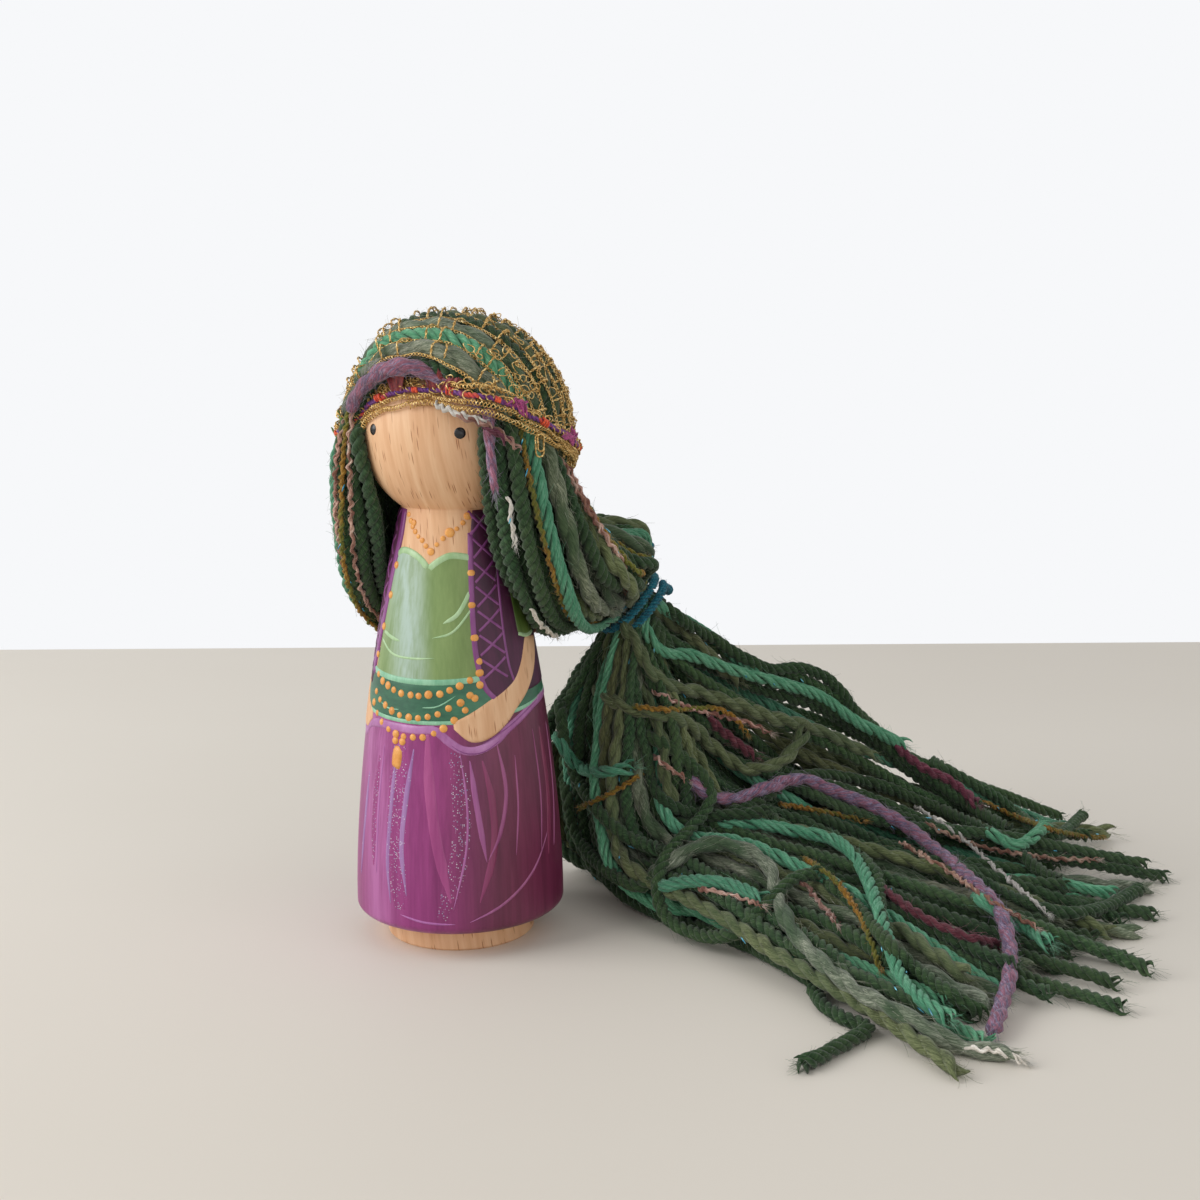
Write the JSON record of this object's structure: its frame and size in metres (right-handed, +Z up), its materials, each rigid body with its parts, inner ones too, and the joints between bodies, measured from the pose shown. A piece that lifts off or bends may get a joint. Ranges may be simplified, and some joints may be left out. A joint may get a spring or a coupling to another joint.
{
  "type": "peg doll",
  "caption": "Turned wooden peg doll in a painted folk dress, with yarn hair under a gold net scarf, tied behind one shoulder into a long fanned tail.",
  "frame": {"origin": "centre of the flat foot, on the surface the doll stands on", "axes": "+Z up the peg towards the head; the face looks along -Y; +X is the doll's own left, the side of the tied tail"},
  "size_m": [0.1632, 0.1434, 0.1199],
  "materials": {
    "painted_beech": "bare beech at the head, hand and foot; satin acrylic paint on the dress",
    "green_yarn": "plied woollen yarn",
    "mint_yarn": "plied woollen yarn",
    "olive_yarn": "plied woollen yarn",
    "grey_yarn": "plied woollen yarn",
    "mauve_yarn": "plied woollen yarn",
    "teal_yarn": "plied cotton thread",
    "gold_thread": "metallic lurex chain thread",
    "wrapped_cord": "cord wrapped in shiny coloured thread",
    "orange_thread": "knotted cotton thread",
    "brow_cloth": "frayed ribbon",
    "side_cloth": "frayed ribbon"
  },
  "bodies": {
    "root": {"peg": "painted_beech", "under_layer": "green_yarn", "crown_green_yarn": "green_yarn", "crown_mint_yarn": "mint_yarn", "crown_olive_yarn": "olive_yarn", "crown_grey_yarn": "grey_yarn", "crown_mauve_yarn": "mauve_yarn", "right_green_yarn": "green_yarn", "right_mint_yarn": "mint_yarn", "right_olive_yarn": "olive_yarn", "right_grey_yarn": "grey_yarn", "right_mauve_yarn": "mauve_yarn", "left_green_yarn": "green_yarn", "left_mint_yarn": "mint_yarn", "left_olive_yarn": "olive_yarn", "left_grey_yarn": "grey_yarn", "left_mauve_yarn": "mauve_yarn", "tail_green_yarn": "green_yarn", "tail_mint_yarn": "mint_yarn", "tail_olive_yarn": "olive_yarn", "tail_grey_yarn": "grey_yarn", "tail_mauve_yarn": "mauve_yarn", "hair_tie": "teal_yarn", "net_rows": "gold_thread", "net_rungs": "gold_thread", "hem_chains": "gold_thread", "hem_cord": "wrapped_cord", "cord_knots": "orange_thread", "brow_tabs": "brow_cloth", "side_tabs": "side_cloth", "drop_loop": "gold_thread"}
  },
  "joints": []
}
